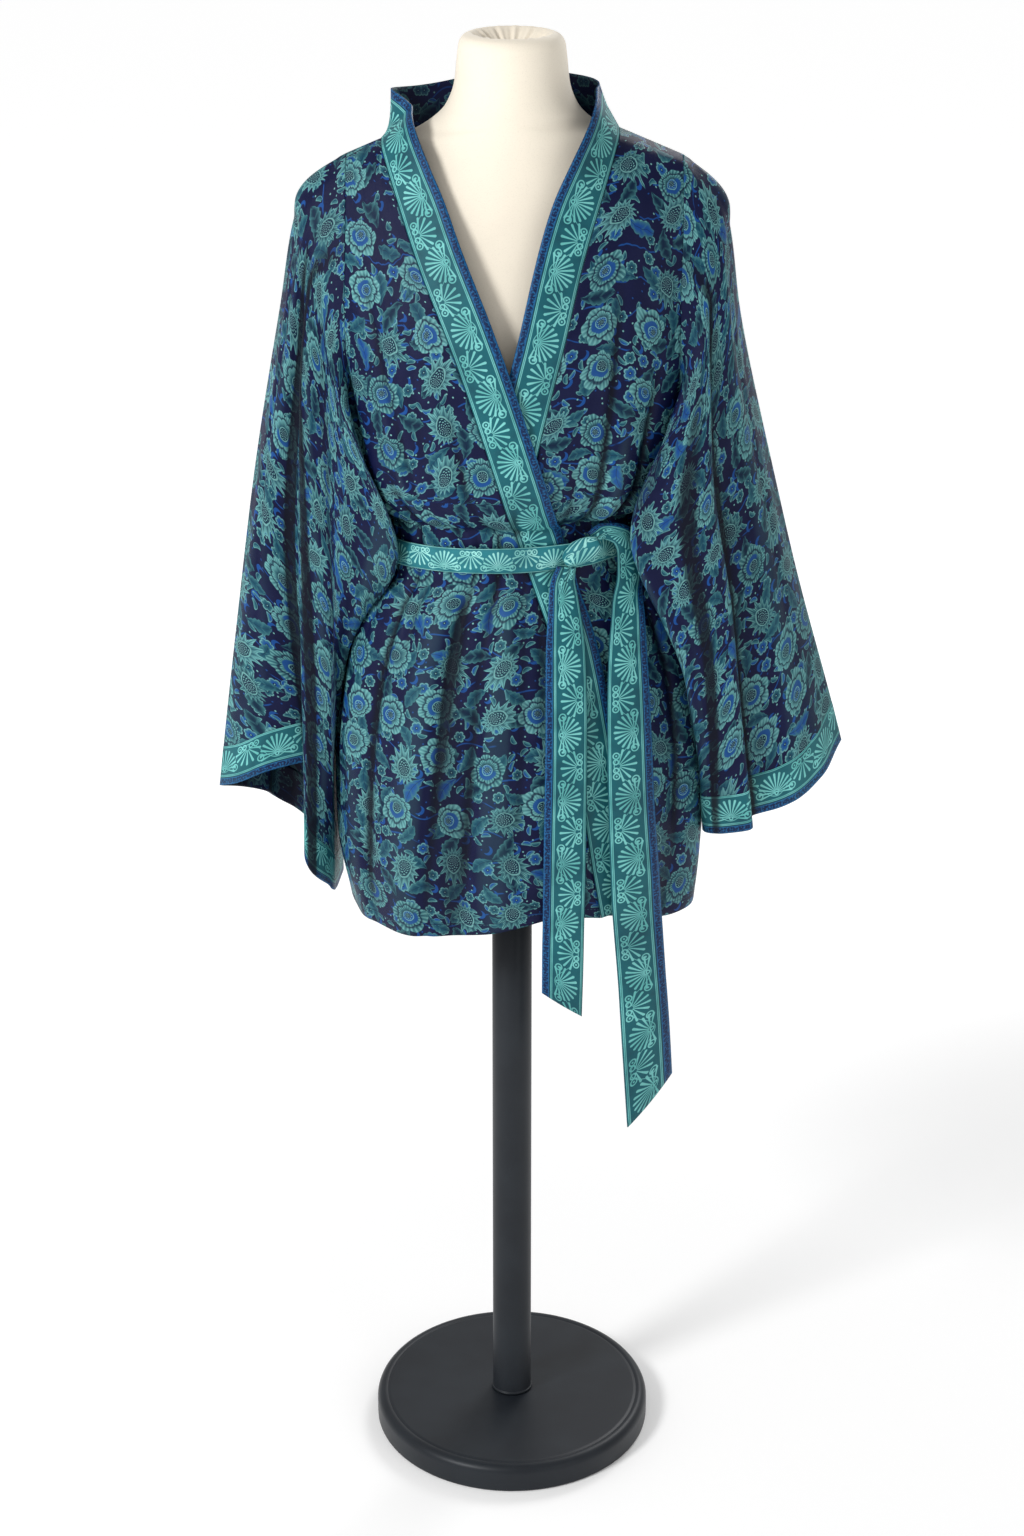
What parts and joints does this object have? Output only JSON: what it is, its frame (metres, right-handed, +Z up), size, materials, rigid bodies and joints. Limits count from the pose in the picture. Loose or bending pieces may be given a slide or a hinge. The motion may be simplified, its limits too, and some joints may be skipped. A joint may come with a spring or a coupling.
{
  "type": "kimono coat on dress form stand",
  "caption": "Short floral-print kimono coat with border-print bands and a tied sash, worn on a limbless dress form with a pole and a round base.",
  "frame": {"origin": "centre of the base's underside", "axes": "+Z up; the coat's front faces -Y; +X is the wearer's left"},
  "size_m": [0.6444, 0.33, 1.531],
  "materials": {
    "coat_print": "soft satin, printed",
    "border_print": "soft satin, printed",
    "sash_print": "soft satin, printed",
    "form_jersey": "matte jersey",
    "stand_metal": "satin powder coat"
  },
  "bodies": {
    "root": {"front_right": "coat_print", "front_left": "coat_print", "back": "coat_print", "sleeve_right": "coat_print", "sleeve_left": "coat_print", "neckband_right": "border_print", "neckband_left": "border_print", "cuff_right": "border_print", "cuff_left": "border_print", "sash_waist": "sash_print", "sash_knot": "sash_print", "sash_end_short": "sash_print", "sash_end_long": "sash_print", "form_torso": "form_jersey", "pole": "stand_metal", "base": "stand_metal"}
  },
  "joints": []
}
